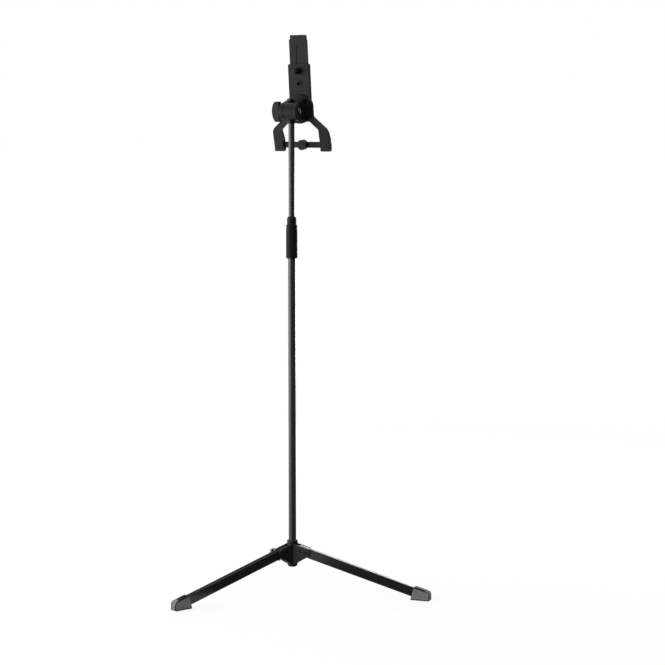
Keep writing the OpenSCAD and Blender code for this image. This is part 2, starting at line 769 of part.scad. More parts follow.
module arms_side()
    rounded([
        [-elbow_back, shoulder_top, 0], [-standoff, shoulder_top, 0],
        [-standoff, bend_lift - elbow_drop, bend_round],
        [cover_front, ledge_z + heel_h + heel_clear, elbow_round], [cover_front, hook_foot, soft_edge],
        [-hook_back, hook_foot, hook_foot_round], [-hook_back, -grip_bottom, heel_round],
        [-elbow_back, -knee_z, elbow_round]]);

module lower_hook_side()
    rounded([
        [cover_front + hook_root, ledge_z, 0], [lip_in, ledge_z, edge],
        [lip_in, ledge_z + lip_h, edge], [lip_out, ledge_z + lip_h, soft_edge],
        [lip_out, hook_foot + edge, toe_round], [cover_front + hook_root, hook_foot + edge, 0]]);

module wishbone() color(black) holder_place() difference() {
    union() {
        dome_lift() about_y() intersection() {
            dome_sketch();
            translate([0, -standoff]) square([dome_r, standoff - cap_split - turn_gap]);
        }
        intersection() {
            along_y(cover_front - e, 0) arms_face();
            along_x(-arm_spread, arm_spread) arms_side();
        }
        for (m = [0, 1])
            mirror([m, 0, 0]) along_x(arm_x - lower_hook_w / 2, arm_x + lower_hook_w / 2) lower_hook_side();
    }
    dome_lift() rod_y(-standoff, 0, swivel_d + 2 * run_gap);
    dome_lift() rod_y(-standoff - e, -swivel_seat, swivel_pocket_d);
    frame_screws_at() rod_y(-standoff - e, floor_y + frame_screw_len, frame_screw_d + 2 * seat_gap);
    for (m = [0, 1])
        mirror([m, 0, 0]) translate([arm_in, 0, -brace_drop]) tenon_block(seat_gap);
}

module tenon_block(gap)
    along_x(-e, tenon + gap) translate([brace_back - brace_t / 2, 0])
        square([tenon_t + 2 * gap, tenon_h + 2 * gap], center = true);

module cross_brace() color(black) holder_place() translate([0, 0, -brace_drop]) {
    difference() {
        union() {
            along_x(-arm_in, arm_in) translate([brace_back - brace_t / 2, 0])
                rounded_box(brace_t, brace_h, soft_edge);
            rod_y(brace_back - brace_t, brace_back + boss_step, brace_boss_d);
        }
        difference() {
            rod_y(brace_back + boss_step - ring_depth, brace_back + boss_step + e, ring_d);
            rod_y(brace_back, brace_back + boss_step + 2 * e, ring_d - 2 * ring_w);
        }
    }
    for (m = [0, 1])
        mirror([m, 0, 0]) translate([arm_in, 0, 0]) tenon_block(0);
}

module frame_screws_at() dome_lift() for (x = [-1, 1]) for (z = [-1, 1])
    translate([x * frame_screw_at, 0, z * frame_screw_at]) children();

module frame_screws() color(steel) holder_place() frame_screws_at() {
    rod_y(floor_y, floor_y + frame_screw_len, frame_screw_d);
    translate([0, floor_y, 0]) rotate([-90, 0, 0])
        cylinder(h = frame_head_h, d1 = frame_head_d, d2 = frame_screw_d);
}

module housing_face()
    rounded([
        [-housing_w / 2, -housing_drop, housing_round], [housing_w / 2, -housing_drop, housing_round],
        [housing_w / 2, housing_top, housing_top_round], [-housing_w / 2, housing_top, housing_top_round]]);

module cover_screws_at() for (m = [0, 1]) mirror([m, 0, 0]) {
    translate([rail_x, 0, high_screw_z]) children();
    translate([rail_x, 0, mid_screw_z]) children();
    translate([low_screw_x, 0, low_screw_z]) children();
}

module guide_housing() color(black) holder_place() difference() {
    union() {
        along_y(cover_back, -standoff) housing_face();
        translate([0, 0, clamp_up]) rod_y(-standoff - e, clamp_back, clamp_boss_d);
        translate([0, 0, stop_up]) rod_y(-standoff - e, -standoff + stop_boss_h, stop_boss_d);
    }
    translate([-slide_w / 2 - slip_gap, cover_back - e, channel_foot])
        cube([slide_w + 2 * slip_gap, floor_y - cover_back + e, housing_top - channel_foot + e]);
    dome_lift() rod_y(floor_y - e, 0, swivel_pocket_d);
    translate([0, 0, clamp_up]) rod_y(floor_y - e, 0, clamp_bush_d + 2 * seat_gap);
    translate([0, 0, stop_up]) rod_y(floor_y - e, 0, stop_d + 2 * seat_gap);
    frame_screws_at() {
        rod_y(floor_y - e, 0, frame_screw_d + 2 * seat_gap);
        translate([0, floor_y - seat_gap, 0]) rotate([-90, 0, 0])
            cylinder(h = frame_head_h, d1 = frame_head_d + 4 * seat_gap, d2 = frame_screw_d + 2 * seat_gap);
    }
    cover_screws_at() rod_y(cover_back - e, cover_front + cover_screw_len, cover_screw_d + 2 * seat_gap);
}

module front_cover() color(black) holder_place() difference() {
    along_y(cover_front, cover_back) housing_face();
    cover_screws_at() {
        rod_y(cover_front - e, cover_back + e, cover_screw_d + 2 * seat_gap);
        rod_y(cover_front - e, cover_front + cover_head_h, cover_head_d + 2 * seat_gap);
    }
}

module cover_screws() color(steel) holder_place() cover_screws_at() {
    rod_y(cover_front, cover_front + cover_screw_len, cover_screw_d);
    rod_y(cover_front, cover_front + cover_head_h, cover_head_d);
}

module lower_pads() color(rubber) holder_place() for (m = [0, 1]) mirror([m, 0, 0])
    along_x(arm_x - lower_hook_w / 2 + pad_inset, arm_x + lower_hook_w / 2 - pad_inset) polygon([
        [lip_in + pad_inset, ledge_z], [cover_front, ledge_z], [cover_front, ledge_z + heel_h],
        [rest_y, ledge_z + heel_h], [rest_y, -grip_bottom], [lip_in + pad_inset, -grip_bottom]]);

module back_pads() color(rubber) holder_place() for (z = [upper_strip_z, lower_strip_z])
    translate([0, 0, z]) along_y(rest_y, cover_front) rounded_box(strip_w, strip_h, pad_round);

module stop_peg() color(steel) holder_place() translate([0, 0, stop_up])
    rod_y(groove_floor + slip_gap, -standoff + stop_boss_h - stop_sunk, stop_d);

module clamp_bush() color("#b59a5b") holder_place() translate([0, 0, clamp_up]) difference() {
    rod_y(floor_y, clamp_back, clamp_bush_d);
    rod_y(floor_y - e, clamp_back + e, clamp_d + 2 * run_gap);
}

module hook_side()
    rounded([
        [lip_out, roof_z - edge, toe_round], [lip_out, grip_top - lip_h, soft_edge],
        [lip_in, grip_top - lip_h, soft_edge], [lip_in, seat_z, edge],
        [slide_back - e, seat_z, 0], [slide_back - e, roof_z - edge, 0]]);

module slide_arm() color(black) holder_place() {
    difference() {
        along_y(slide_front, slide_back) rounded([
            [-slide_w / 2, slide_foot, slide_round], [slide_w / 2, slide_foot, slide_round],
            [slide_w / 2, shoulder_z, slide_shoulder_r], [-slide_w / 2, shoulder_z, slide_shoulder_r]]);
        translate([-groove_w / 2, groove_floor, groove_foot])
            cube([groove_w, groove_depth + e, groove_top - groove_foot]);
    }
    along_y(slide_front, slide_back) rounded([
        [-tongue_w / 2, shoulder_z - hook_root, 0], [tongue_w / 2, shoulder_z - hook_root, 0],
        [tongue_w / 2, roof_z, soft_edge], [-tongue_w / 2, roof_z, soft_edge]]);
    along_x(-upper_hook_w / 2, upper_hook_w / 2) hook_side();
}

module hook_pad() color(rubber) holder_place()
    translate([0, 0, grip_top]) along_z(0, pad_t) translate([0, (lip_in + slide_front) / 2])
        square([upper_hook_w - 2 * pad_inset, slide_front - lip_in - 2 * pad_inset], center = true);

module clamp_stud() color(steel) holder_place() translate([0, 0, clamp_up])
    rod_y(groove_floor + run_gap, clamp_knob_in + clamp_knob_len - knob_floor, clamp_d);

module clamp_knob() color(black) holder_place() translate([0, 0, clamp_up]) difference() {
    translate([0, clamp_knob_in, 0]) rotate([-90, 0, 0]) difference() {
        rotate_extrude() rounded([
            [0, 0, 0], [clamp_knob_d / 2, 0, edge],
            [clamp_knob_d / 2, clamp_knob_len, knob_round], [0, clamp_knob_len, 0]]);
        for (i = [0 : flutes - 1])
            rotate([0, 0, 360 / flutes * i]) translate([clamp_knob_d / 2 + flute_out, 0, -e])
                cylinder(h = clamp_knob_len + 2 * e, d = flute_d);
    }
    rod_y(clamp_back - e, clamp_knob_in + clamp_knob_len - knob_floor, clamp_d + 2 * seat_gap);
}

leg_hub();
base_plug();
leg_rivets();
lower_tube();
clutch_body();
clutch_collet();
leg_tube_1();
leg_tube_2();
leg_tube_3();
leg_end_1();
leg_end_2();
leg_end_3();
foot_cap_1();
foot_cap_2();
foot_cap_3();
clutch_sleeve();
guide_bush();
upper_tube();
tilt_knuckle();
knuckle_pin();
tilt_bracket();
tilt_bolt();
tilt_washers();
swivel_screw();
swivel_washer();
wing_knob();
knob_insert();
wishbone();
cross_brace();
guide_housing();
frame_screws();
front_cover();
cover_screws();
lower_pads();
back_pads();
stop_peg();
clamp_bush();
slide_arm();
hook_pad();
clamp_stud();
clamp_knob();
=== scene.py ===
import bmesh
import bpy
import json
import math
from mathutils import Matrix, Vector


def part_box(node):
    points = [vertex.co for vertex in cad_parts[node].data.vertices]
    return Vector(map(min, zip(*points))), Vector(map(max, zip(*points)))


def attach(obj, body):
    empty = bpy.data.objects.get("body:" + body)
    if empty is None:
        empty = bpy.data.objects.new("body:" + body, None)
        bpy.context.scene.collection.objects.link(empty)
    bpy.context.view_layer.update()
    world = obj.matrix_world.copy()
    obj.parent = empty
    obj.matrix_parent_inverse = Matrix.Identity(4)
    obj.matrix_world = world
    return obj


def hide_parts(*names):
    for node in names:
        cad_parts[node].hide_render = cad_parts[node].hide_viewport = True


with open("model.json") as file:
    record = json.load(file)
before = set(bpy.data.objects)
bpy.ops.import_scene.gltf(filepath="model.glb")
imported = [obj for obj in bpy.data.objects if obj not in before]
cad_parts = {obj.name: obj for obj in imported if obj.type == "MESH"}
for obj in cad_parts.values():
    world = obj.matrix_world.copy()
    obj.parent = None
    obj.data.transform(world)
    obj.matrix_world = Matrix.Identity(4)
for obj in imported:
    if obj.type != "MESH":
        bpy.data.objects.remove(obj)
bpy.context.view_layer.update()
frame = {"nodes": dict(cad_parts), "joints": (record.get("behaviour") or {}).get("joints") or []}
nodes = frame["nodes"]
scene = bpy.context.scene
scene.view_settings.view_transform = "Standard"


# Studio: a long lens at standing height, behind and to one side of the stand, before a white backdrop.
# A wide soft box on the left does most of the lighting, and a smaller one stands low behind, on the right.
# Black cloths that show only in reflections darken the right, the camera's side, the far left and the floor.
heading = math.radians(211.256)
camera_data = bpy.data.cameras.new("camera")
camera_data.lens = 107.57
camera_data.sensor_width = 36.0
camera = bpy.data.objects.new("camera", camera_data)
camera.location = (-2.7807, 4.3764, 1.2410)
camera.rotation_euler = (math.radians(83.87), 0.0, heading)
scene.collection.objects.link(camera)
scene.camera = camera

seen_left = Vector((-math.cos(heading), -math.sin(heading), 0.0))
seen_near = Vector((math.sin(heading), -math.cos(heading), 0.0))


def spot(left, near, height):
    return seen_left * left + seen_near * near + Vector((0.0, 0.0, height))


# Gives 1 to what the camera, a reflection or glass shows, and 0 to the light that falls on the stand.
def seen_directly(tree):
    path = tree.nodes.new("ShaderNodeLightPath")
    shown = tree.nodes.new("ShaderNodeMath")
    shown.operation = "MAXIMUM"
    tree.links.new(path.outputs["Is Camera Ray"], shown.inputs[0])
    tree.links.new(path.outputs["Is Glossy Ray"], shown.inputs[1])
    passed = tree.nodes.new("ShaderNodeMath")
    passed.operation = "MAXIMUM"
    tree.links.new(shown.outputs[0], passed.inputs[0])
    tree.links.new(path.outputs["Is Transmission Ray"], passed.inputs[1])
    return passed.outputs[0]


def between(tree, value, low, high, start=0.3, end=0.7):
    node = tree.nodes.new("ShaderNodeMapRange")
    node.inputs["From Min"].default_value = start
    node.inputs["From Max"].default_value = end
    node.inputs["To Min"].default_value = low
    node.inputs["To Max"].default_value = high
    tree.links.new(value, node.inputs["Value"])
    return node.outputs["Result"]


def flat_sheet(name, width, height, place):
    mesh = bpy.data.meshes.new(name)
    bm = bmesh.new()
    bmesh.ops.create_grid(bm, x_segments=1, y_segments=1, size=0.5)
    bmesh.ops.scale(bm, vec=(width, height, 1.0), verts=bm.verts)
    bmesh.ops.transform(bm, matrix=place, verts=bm.verts)
    bm.to_mesh(mesh)
    bm.free()
    sheet = bpy.data.objects.new(name, mesh)
    scene.collection.objects.link(sheet)
    return sheet


room_light, backdrop_white = 0.45, 1.0
world = bpy.data.worlds.new("studio")
scene.world = world
world.use_nodes = True
tree = world.node_tree
sky = tree.nodes["Background"]
sky.inputs["Color"].default_value = (1.0, 1.0, 1.0, 1.0)
brightness = between(tree, seen_directly(tree), room_light, backdrop_white, 0.0, 1.0)
tree.links.new(brightness, sky.inputs["Strength"])

floor_width, floor_drop = 120.0, 0.0005
floor_grey = (0.24, 0.24, 0.24, 1.0)
near_glow, far_glow = 0.84, 0.9
glow_fade = (0.6, 4.0)
floor = flat_sheet("floor", floor_width, floor_width, Matrix.Translation((0.0, 0.0, -floor_drop)))
floor_paint = bpy.data.materials.new("pale_floor")
floor_paint.use_nodes = True
tree = floor_paint.node_tree
tree.nodes.clear()
matte = tree.nodes.new("ShaderNodeBsdfDiffuse")
matte.inputs["Color"].default_value = floor_grey
glow = tree.nodes.new("ShaderNodeEmission")
distance = tree.nodes.new("ShaderNodeVectorMath")
distance.operation = "LENGTH"
tree.links.new(tree.nodes.new("ShaderNodeTexCoord").outputs["Object"], distance.inputs[0])
level = tree.nodes.new("ShaderNodeMath")
level.operation = "MULTIPLY"
tree.links.new(seen_directly(tree), level.inputs[0])
tree.links.new(between(tree, distance.outputs["Value"], near_glow, far_glow, *glow_fade), level.inputs[1])
tree.links.new(level.outputs[0], glow.inputs["Strength"])
both = tree.nodes.new("ShaderNodeAddShader")
tree.links.new(matte.outputs[0], both.inputs[0])
tree.links.new(glow.outputs[0], both.inputs[1])
end = tree.nodes.new("ShaderNodeOutputMaterial")
tree.links.new(both.outputs[0], end.inputs["Surface"])
floor.data.materials.append(floor_paint)

black_cloth = bpy.data.materials.new("black_cloth")
black_cloth.use_nodes = True
cloth = black_cloth.node_tree.nodes["Principled BSDF"]
cloth.inputs["Base Color"].default_value = (0.02, 0.02, 0.02, 1.0)
cloth.inputs["Roughness"].default_value = 1.0
cloth.inputs["Specular IOR Level"].default_value = 0.0


def black_flag(name, place, facing, width, height):
    turn = facing.to_track_quat("Z", "Y").to_matrix().to_4x4()
    flag = flat_sheet(name, width, height, Matrix.Translation(place) @ turn)
    flag.data.materials.append(black_cloth)
    flag.visible_camera = False
    flag.visible_diffuse = False
    flag.visible_shadow = False


black_flag("right_flag", place=spot(-1.7, 0.35, 1.3), facing=seen_left, width=2.7, height=2.6)
black_flag("near_flag", place=spot(-0.2, 1.9, 1.3), facing=-seen_near, width=3.4, height=2.6)
black_flag("far_flag", place=spot(0.75, -2.6, 1.75), facing=seen_near, width=1.7, height=1.3)
black_flag("floor_flag", place=(-1.23, 0.15, 0.001), facing=Vector((0.0, 0.0, 1.0)), width=2.4, height=3.5)


def softbox(name, place, facing, width, height, radiance):
    data = bpy.data.lights.new(name, "AREA")
    data.shape = "RECTANGLE"
    data.size = width
    data.size_y = height
    data.energy = radiance * math.pi * width * height
    lamp = bpy.data.objects.new(name, data)
    lamp.location = place
    lamp.rotation_mode = "QUATERNION"
    lamp.rotation_quaternion = facing.to_track_quat("-Z", "Y")
    lamp.visible_camera = False
    scene.collection.objects.link(lamp)


softbox("left_box", place=spot(2.4, 0.6, 0.95), facing=-seen_left, width=4.2, height=2.0, radiance=2.0)
softbox("back_box", place=spot(-1.0, -2.5, 0.62), facing=spot(1.0, 2.5, 0.0), width=1.8, height=0.8,
        radiance=8.0)


# Leg hub and plug: the hub is one black moulding that holds the lower tube between three pairs of cheeks.
# It is filled nylon with a fine spark grain. A round plug with a softened rim closes it from below.
def noise(tree, source, scale, detail=3.0, rough=0.55):
    node = tree.nodes.new("ShaderNodeTexNoise")
    node.inputs["Scale"].default_value = scale
    node.inputs["Detail"].default_value = detail
    node.inputs["Roughness"].default_value = rough
    tree.links.new(source, node.inputs["Vector"])
    return node.outputs["Fac"]


def shade_between(tree, value, dark, pale, start=0.3, end=0.7):
    node = tree.nodes.new("ShaderNodeValToRGB")
    node.color_ramp.elements[0].position = start
    node.color_ramp.elements[0].color = (*dark, 1.0)
    node.color_ramp.elements[1].position = end
    node.color_ramp.elements[1].color = (*pale, 1.0)
    tree.links.new(value, node.inputs["Fac"])
    return node.outputs["Color"]


def raise_surface(tree, shader, relief, strength, distance):
    node = tree.nodes.new("ShaderNodeBump")
    node.inputs["Strength"].default_value = strength
    node.inputs["Distance"].default_value = distance
    tree.links.new(relief, node.inputs["Height"])
    tree.links.new(node.outputs["Normal"], shader.inputs["Normal"])


def new_finish(name, gloss=0.5):
    made = bpy.data.materials.new(name)
    made.use_nodes = True
    tree = made.node_tree
    shader = tree.nodes["Principled BSDF"]
    shader.inputs["Specular IOR Level"].default_value = gloss
    place = tree.nodes.new("ShaderNodeTexCoord").outputs["Object"]
    return made, tree, shader, place


def moulded_plastic(name, dark, pale, rough, grain, gloss):
    made, tree, shader, place = new_finish(name, gloss)
    flow = noise(tree, place, scale=22.0, detail=4.0)
    spark = noise(tree, place, scale=grain, detail=2.0, rough=0.6)
    tree.links.new(shade_between(tree, flow, dark, pale), shader.inputs["Base Color"])
    tree.links.new(between(tree, spark, *rough), shader.inputs["Roughness"])
    raise_surface(tree, shader, relief=spark, strength=0.35, distance=0.00012)
    return made


# Rounds a node's sharp edges with modifiers, so that the CAD mesh itself stays as it is.
def soften(name, width, segments):
    same_point = 0.000002
    same_plane = math.radians(0.3)
    sharp_edge = math.radians(40.0)
    node = nodes[name]
    joined = node.modifiers.new("joined", "WELD")
    joined.merge_threshold = same_point
    merged = node.modifiers.new("merged", "DECIMATE")
    merged.decimate_type = "DISSOLVE"
    merged.angle_limit = same_plane
    rounded = node.modifiers.new("rounding", "BEVEL")
    rounded.width = width
    rounded.segments = segments
    rounded.limit_method = "ANGLE"
    rounded.angle_limit = sharp_edge
    rounded.use_clamp_overlap = True
    weighted = node.modifiers.new("weighted", "WEIGHTED_NORMAL")
    weighted.keep_sharp = False
    weighted.weight = 100
    for face in node.data.polygons:
        face.use_smooth = True


def finish_node(name, material, rounding=0.0, segments=2):
    node = nodes[name]
    node.data.materials.clear()
    node.data.materials.append(material)
    if rounding:
        soften(name, rounding, segments)


black_nylon = moulded_plastic("black_nylon", dark=(0.017, 0.017, 0.0173), pale=(0.023, 0.023, 0.0234),
                              rough=(0.42, 0.56), grain=1500.0, gloss=0.34)
finish_node("leg_hub", black_nylon)
finish_node("base_plug", black_nylon, rounding=0.0004)


# Pivot rivets: steel rivets through the cheeks and the legs, with coned heads peened over.
# They are blackened, and lightly scratched from the peening.
def plated_steel(name, colour, rough):
    made, tree, shader, place = new_finish(name)
    shader.inputs["Metallic"].default_value = 1.0
    cloud = noise(tree, place, scale=260.0, detail=4.0)
    scratch = noise(tree, place, scale=2400.0, detail=2.0)
    dulling = 0.82
    dulled = tuple(channel * dulling for channel in colour)
    tree.links.new(shade_between(tree, cloud, dulled, colour), shader.inputs["Base Color"])
    tree.links.new(between(tree, scratch, *rough), shader.inputs["Roughness"])
    raise_surface(tree, shader, relief=scratch, strength=0.15, distance=0.00005)
    return made


blackened_steel = plated_steel("blackened_steel", colour=(0.030, 0.030, 0.031), rough=(0.40, 0.55))
finish_node("leg_rivets", blackened_steel, rounding=0.0002)


# Legs: rectangular steel tubes with a plastic pivot end pressed into each.
# The tubes are powder coated in black, with a fine orange peel and a low sheen.
def powder_coat(name, dark, pale, rough, gloss):
    made, tree, shader, place = new_finish(name, gloss)
    peel = noise(tree, place, scale=700.0, detail=2.0, rough=0.4)
    cloud = noise(tree, place, scale=14.0, detail=3.0)
    tree.links.new(shade_between(tree, cloud, dark, pale), shader.inputs["Base Color"])
    tree.links.new(between(tree, cloud, *rough), shader.inputs["Roughness"])
    raise_surface(tree, shader, relief=peel, strength=0.12, distance=0.0001)
    return made


leg_coat = powder_coat("leg_coat", dark=(0.019, 0.019, 0.0193), pale=(0.025, 0.025, 0.0254),
                       rough=(0.16, 0.22), gloss=0.42)
for leg in ("1", "2", "3"):
    finish_node("leg_tube_" + leg, leg_coat)
    finish_node("leg_end_" + leg, black_nylon)


# Foot caps: boots of dark moulded rubber, pushed over the ends of the legs.
# The sides and tip are painted pale as painted light; the top, the edges and a band at the sole are painted
# shade.
# The pattern is laid out along each leg: out runs along the floor, and aside across the leg.
joints = {joint["name"]: joint for joint in frame["joints"]}


def worked_out(tree, operation, first, second=0.0, third=0.0):
    node = tree.nodes.new("ShaderNodeMath")
    node.operation = operation
    for socket, value in zip(node.inputs, (first, second, third)):
        if isinstance(value, float):
            socket.default_value = value
        else:
            tree.links.new(value, socket)
    return node.outputs[0]


def boot_rubber(name, hinge):
    slope = math.radians(15.098)
    side_at_axis, side_taper = 0.01158, -0.0384
    side_skin = (0.00008, 0.00025)
    tip_edge = (0.0070, 0.0080)
    tip_start = (0.3705, 0.3735)
    painted_sole_shade = (0.0018, 0.0032)
    rim_rough, panel_rough = 0.38, 0.66
    made, tree, shader, place = new_finish(name, gloss=0.012)
    turned = tree.nodes.new("ShaderNodeMapping")
    turned.inputs["Rotation"].default_value = (0.0, 0.0, -math.atan2(hinge.y, hinge.x))
    tree.links.new(place, turned.inputs["Vector"])
    split = tree.nodes.new("ShaderNodeSeparateXYZ")
    tree.links.new(turned.outputs["Vector"], split.inputs["Vector"])
    out, aside, up = split.outputs
    off_axis = worked_out(tree, "ABSOLUTE", aside)
    axis_drop = -hinge.xy.length * math.sin(slope) - hinge.z * math.cos(slope)
    rise = worked_out(tree, "MULTIPLY_ADD", out, math.sin(slope), axis_drop)
    rise = worked_out(tree, "MULTIPLY_ADD", up, math.cos(slope), rise)
    side = worked_out(tree, "MULTIPLY_ADD", rise, side_taper, side_at_axis)
    # Painted light: the side faces and the tip get the pale colour, while the top and the edges stay dark as
    # painted shade.
    painted_side_light = between(tree, worked_out(tree, "SUBTRACT", side, off_axis), 1.0, 0.0, *side_skin)
    tip_middle = between(tree, off_axis, 1.0, 0.0, *tip_edge)
    tip_end = between(tree, out, 0.0, 1.0, *tip_start)
    painted_tip_light = worked_out(tree, "MULTIPLY", tip_middle, tip_end)
    painted_light_mask = worked_out(tree, "MAXIMUM", painted_side_light, painted_tip_light)
    # Painted shade: a dark band along the sole, where the boot meets the floor.
    painted_light_mask = worked_out(tree, "MULTIPLY", painted_light_mask, between(tree, up, 0.0, 1.0, *painted_sole_shade))
    grain = noise(tree, place, scale=1100.0, detail=3.0, rough=0.6)
    dust = noise(tree, place, scale=90.0, detail=4.0)
    # rim is the painted shade colour and face is the painted light colour of the same rubber; the grain on
    # both is real.
    rim = shade_between(tree, dust, dark=(0.024, 0.024, 0.0245), pale=(0.036, 0.036, 0.0365))
    face = shade_between(tree, dust, dark=(0.27, 0.27, 0.273), pale=(0.33, 0.33, 0.333))
    blend = tree.nodes.new("ShaderNodeMix")
    blend.data_type = "RGBA"
    tree.links.new(painted_light_mask, blend.inputs["Factor"])
    tree.links.new(rim, blend.inputs["A"])
    tree.links.new(face, blend.inputs["B"])
    tree.links.new(blend.outputs["Result"], shader.inputs["Base Color"])
    tree.links.new(between(tree, painted_light_mask, rim_rough, panel_rough, 0.0, 1.0), shader.inputs["Roughness"])
    raise_surface(tree, shader, relief=grain, strength=0.4, distance=0.00015)
    return made


for leg in ("1", "2", "3"):
    hinge = Vector(joints["leg_" + leg + "_fold"]["pos_m"])
    finish_node("foot_cap_" + leg, boot_rubber("boot_rubber_" + leg, hinge))


# Lower tube and clutch: a round steel tube, and a ribbed nylon grip that closes a split nose on the upper.
# The tube's coat is glossier than the legs'. A soft wiper ring on the nose keeps dust out of the split.
tube_coat = powder_coat("tube_coat", dark=(0.042, 0.042, 0.0426), pale=(0.050, 0.050, 0.0507),
                        rough=(0.24, 0.30), gloss=0.66)
grip_nylon = moulded_plastic("grip_nylon", dark=(0.008, 0.008, 0.0082), pale=(0.012, 0.012, 0.0123),
                             rough=(0.45, 0.60), grain=1300.0, gloss=0.2)
finish_node("lower_tube", tube_coat)
finish_node("clutch_body", grip_nylon)
finish_node("clutch_collet", grip_nylon, rounding=0.0003)
finish_node("clutch_sleeve", grip_nylon, rounding=0.0003)


def soft_rubber(name, dark, pale):
    rough = (0.78, 0.92)
    made, tree, shader, place = new_finish(name, gloss=0.2)
    dust = noise(tree, place, scale=60.0, detail=5.0)
    pores = noise(tree, place, scale=2200.0, detail=2.0)
    tree.links.new(shade_between(tree, dust, dark, pale), shader.inputs["Base Color"])
    tree.links.new(between(tree, dust, *rough), shader.inputs["Roughness"])
    raise_surface(tree, shader, relief=pores, strength=0.3, distance=0.0001)
    return made


def add_piece(name, bm, material, body):
    same_point = 0.000002
    sharp_edge = math.radians(35.0)
    bmesh.ops.remove_doubles(bm, verts=bm.verts, dist=same_point)
    bmesh.ops.recalc_face_normals(bm, faces=bm.faces)
    mesh = bpy.data.meshes.new(name)
    bm.to_mesh(mesh)
    bm.free()
    for face in mesh.polygons:
        face.use_smooth = True
    mesh.set_sharp_from_angle(angle=sharp_edge)
    piece = bpy.data.objects.new(name, mesh)
    piece.data.materials.append(material)
    scene.collection.objects.link(piece)
    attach(piece, body)
    return piece


def turned_piece(name, outline, place, material, body):
    bm = bmesh.new()
    corners = [bm.verts.new((radius, 0.0, height)) for radius, height in outline]
    sides = [bm.edges.new(pair) for pair in zip(corners, corners[1:])]
    if outline[0][0] > 0.0:
        sides.append(bm.edges.new((corners[-1], corners[0])))
    bmesh.ops.spin(bm, geom=corners + sides, cent=(0, 0, 0), axis=(0, 0, 1), angle=math.tau,
                   steps=64, use_merge=True)
    bmesh.ops.transform(bm, matrix=place, verts=bm.verts)
    return add_piece(name, bm, material, body)


wiper_bore, wiper_rim = 0.0083, 0.0099
wiper_wall, wiper_height = 0.0006, 0.0014
wiper_slope, wiper_drop, wiper_lip = 0.0005, 0.0002, 0.0003
wiper_outline = [(wiper_bore, 0.0), (wiper_rim, 0.0), (wiper_rim, wiper_wall),
                 (wiper_rim - wiper_slope, wiper_height - wiper_drop),
                 (wiper_bore + wiper_lip, wiper_height), (wiper_bore, wiper_height - wiper_lip)]
nose_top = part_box("clutch_collet")[1].z
wiper_place = Matrix.Translation((0.0, 0.0, nose_top))
wiper_rubber = soft_rubber("wiper_rubber", dark=(0.010, 0.010, 0.010), pale=(0.016, 0.016, 0.016))
turned_piece("nose_wiper", wiper_outline, wiper_place, wiper_rubber, "base")


# Upper tube: a thinner steel tube in the same coat, which slides and turns in the lower one.
# A nylon bush on its lower end guides it.
finish_node("guide_bush", grip_nylon)
finish_node("upper_tube", tube_coat)


# Tilt head: a middle knuckle pinned to the upper tube, between two outer knuckles on the dome's cap.
# All three are black moulded plastic, pinched together with thin friction washers by one plated bolt.
# The bolt's head sits in a round recess and wears a bright cap with a low dome.
head_plastic = moulded_plastic("head_plastic", dark=(0.009, 0.009, 0.0093), pale=(0.013, 0.013, 0.0133),
                               rough=(0.40, 0.54), grain=1400.0, gloss=0.2)
bright_zinc = plated_steel("bright_zinc", colour=(0.62, 0.63, 0.64), rough=(0.22, 0.38))
finish_node("tilt_knuckle", head_plastic, rounding=0.0006)
finish_node("knuckle_pin", blackened_steel)
finish_node("tilt_bracket", head_plastic, rounding=0.0006)
finish_node("tilt_washers", grip_nylon)
finish_node("tilt_bolt", bright_zinc, rounding=0.0003)
finish_node("swivel_screw", bright_zinc)
finish_node("swivel_washer", bright_zinc)

cap_r, cap_wall = 0.0080, 0.0018
cap_edge_in, cap_edge_up = 0.0002, 0.0003
dome_r, dome_middle = 0.0227, -0.0193
dome_turns = [math.radians(turn) for turn in (20, 16, 12, 8, 4)]
dome = [(dome_r * math.sin(turn), dome_middle + dome_r * math.cos(turn)) for turn in dome_turns]
cap_rim = [(0.0, 0.0), (cap_r - cap_edge_in, 0.0), (cap_r, cap_edge_up), (cap_r, cap_wall)]
cap_outline = cap_rim + dome + [(0.0, dome_middle + dome_r)]
tilt_axis = Matrix.Translation(joints["head_tilt"]["pos_m"])
bolt_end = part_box("tilt_bolt")[0].x
facing_right = Matrix.Rotation(math.radians(-90.0), 4, "Y")
cap_place = tilt_axis @ Matrix.Translation((bolt_end, 0.0, 0.0)) @ facing_right
turned_piece("bolt_cap", cap_outline, cap_place, bright_zinc, "tilt_head")


# Wing knob: a bowed plastic bar on a short neck, moulded over a brass thread insert.
# A round plug closes the moulding's core hole in the outer face.
turned_brass = plated_steel("turned_brass", colour=(0.62, 0.46, 0.18), rough=(0.25, 0.40))
finish_node("wing_knob", head_plastic, rounding=0.0012, segments=3)
finish_node("knob_insert", turned_brass)


def plug_outline(radius, sunk):
    edge_in, edge_up, edge_top, middle_top = 0.0004, 0.0003, 0.0006, 0.0007
    rim = [(radius, -sunk), (radius, edge_up), (radius - edge_in, edge_top)]
    return [(0.0, -sunk)] + rim + [(0.0, middle_top)]


wing_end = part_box("wing_knob")[1].x
facing_left = Matrix.Rotation(math.radians(90.0), 4, "Y")
wing_place = tilt_axis @ Matrix.Translation((wing_end, 0.0, 0.0)) @ facing_left
wing_plug = plug_outline(radius=0.0042, sunk=0.0006)
turned_piece("wing_plug", wing_plug, wing_place, grip_nylon, "tilt_lock")


# Wishbone and brace: one moulding with the dome's outer half and both lower arms, tied by a cross bar.
# They are black plastic with a fine grain; the bar's tenons are pushed into the arms.
frame_plastic = moulded_plastic("frame_plastic", dark=(0.009, 0.009, 0.0093), pale=(0.013, 0.013, 0.0133),
                                rough=(0.44, 0.58), grain=1400.0, gloss=0.2)
finish_node("wishbone", frame_plastic, rounding=0.0008)
finish_node("cross_brace", frame_plastic, rounding=0.0004)
finish_node("frame_screws", blackened_steel)
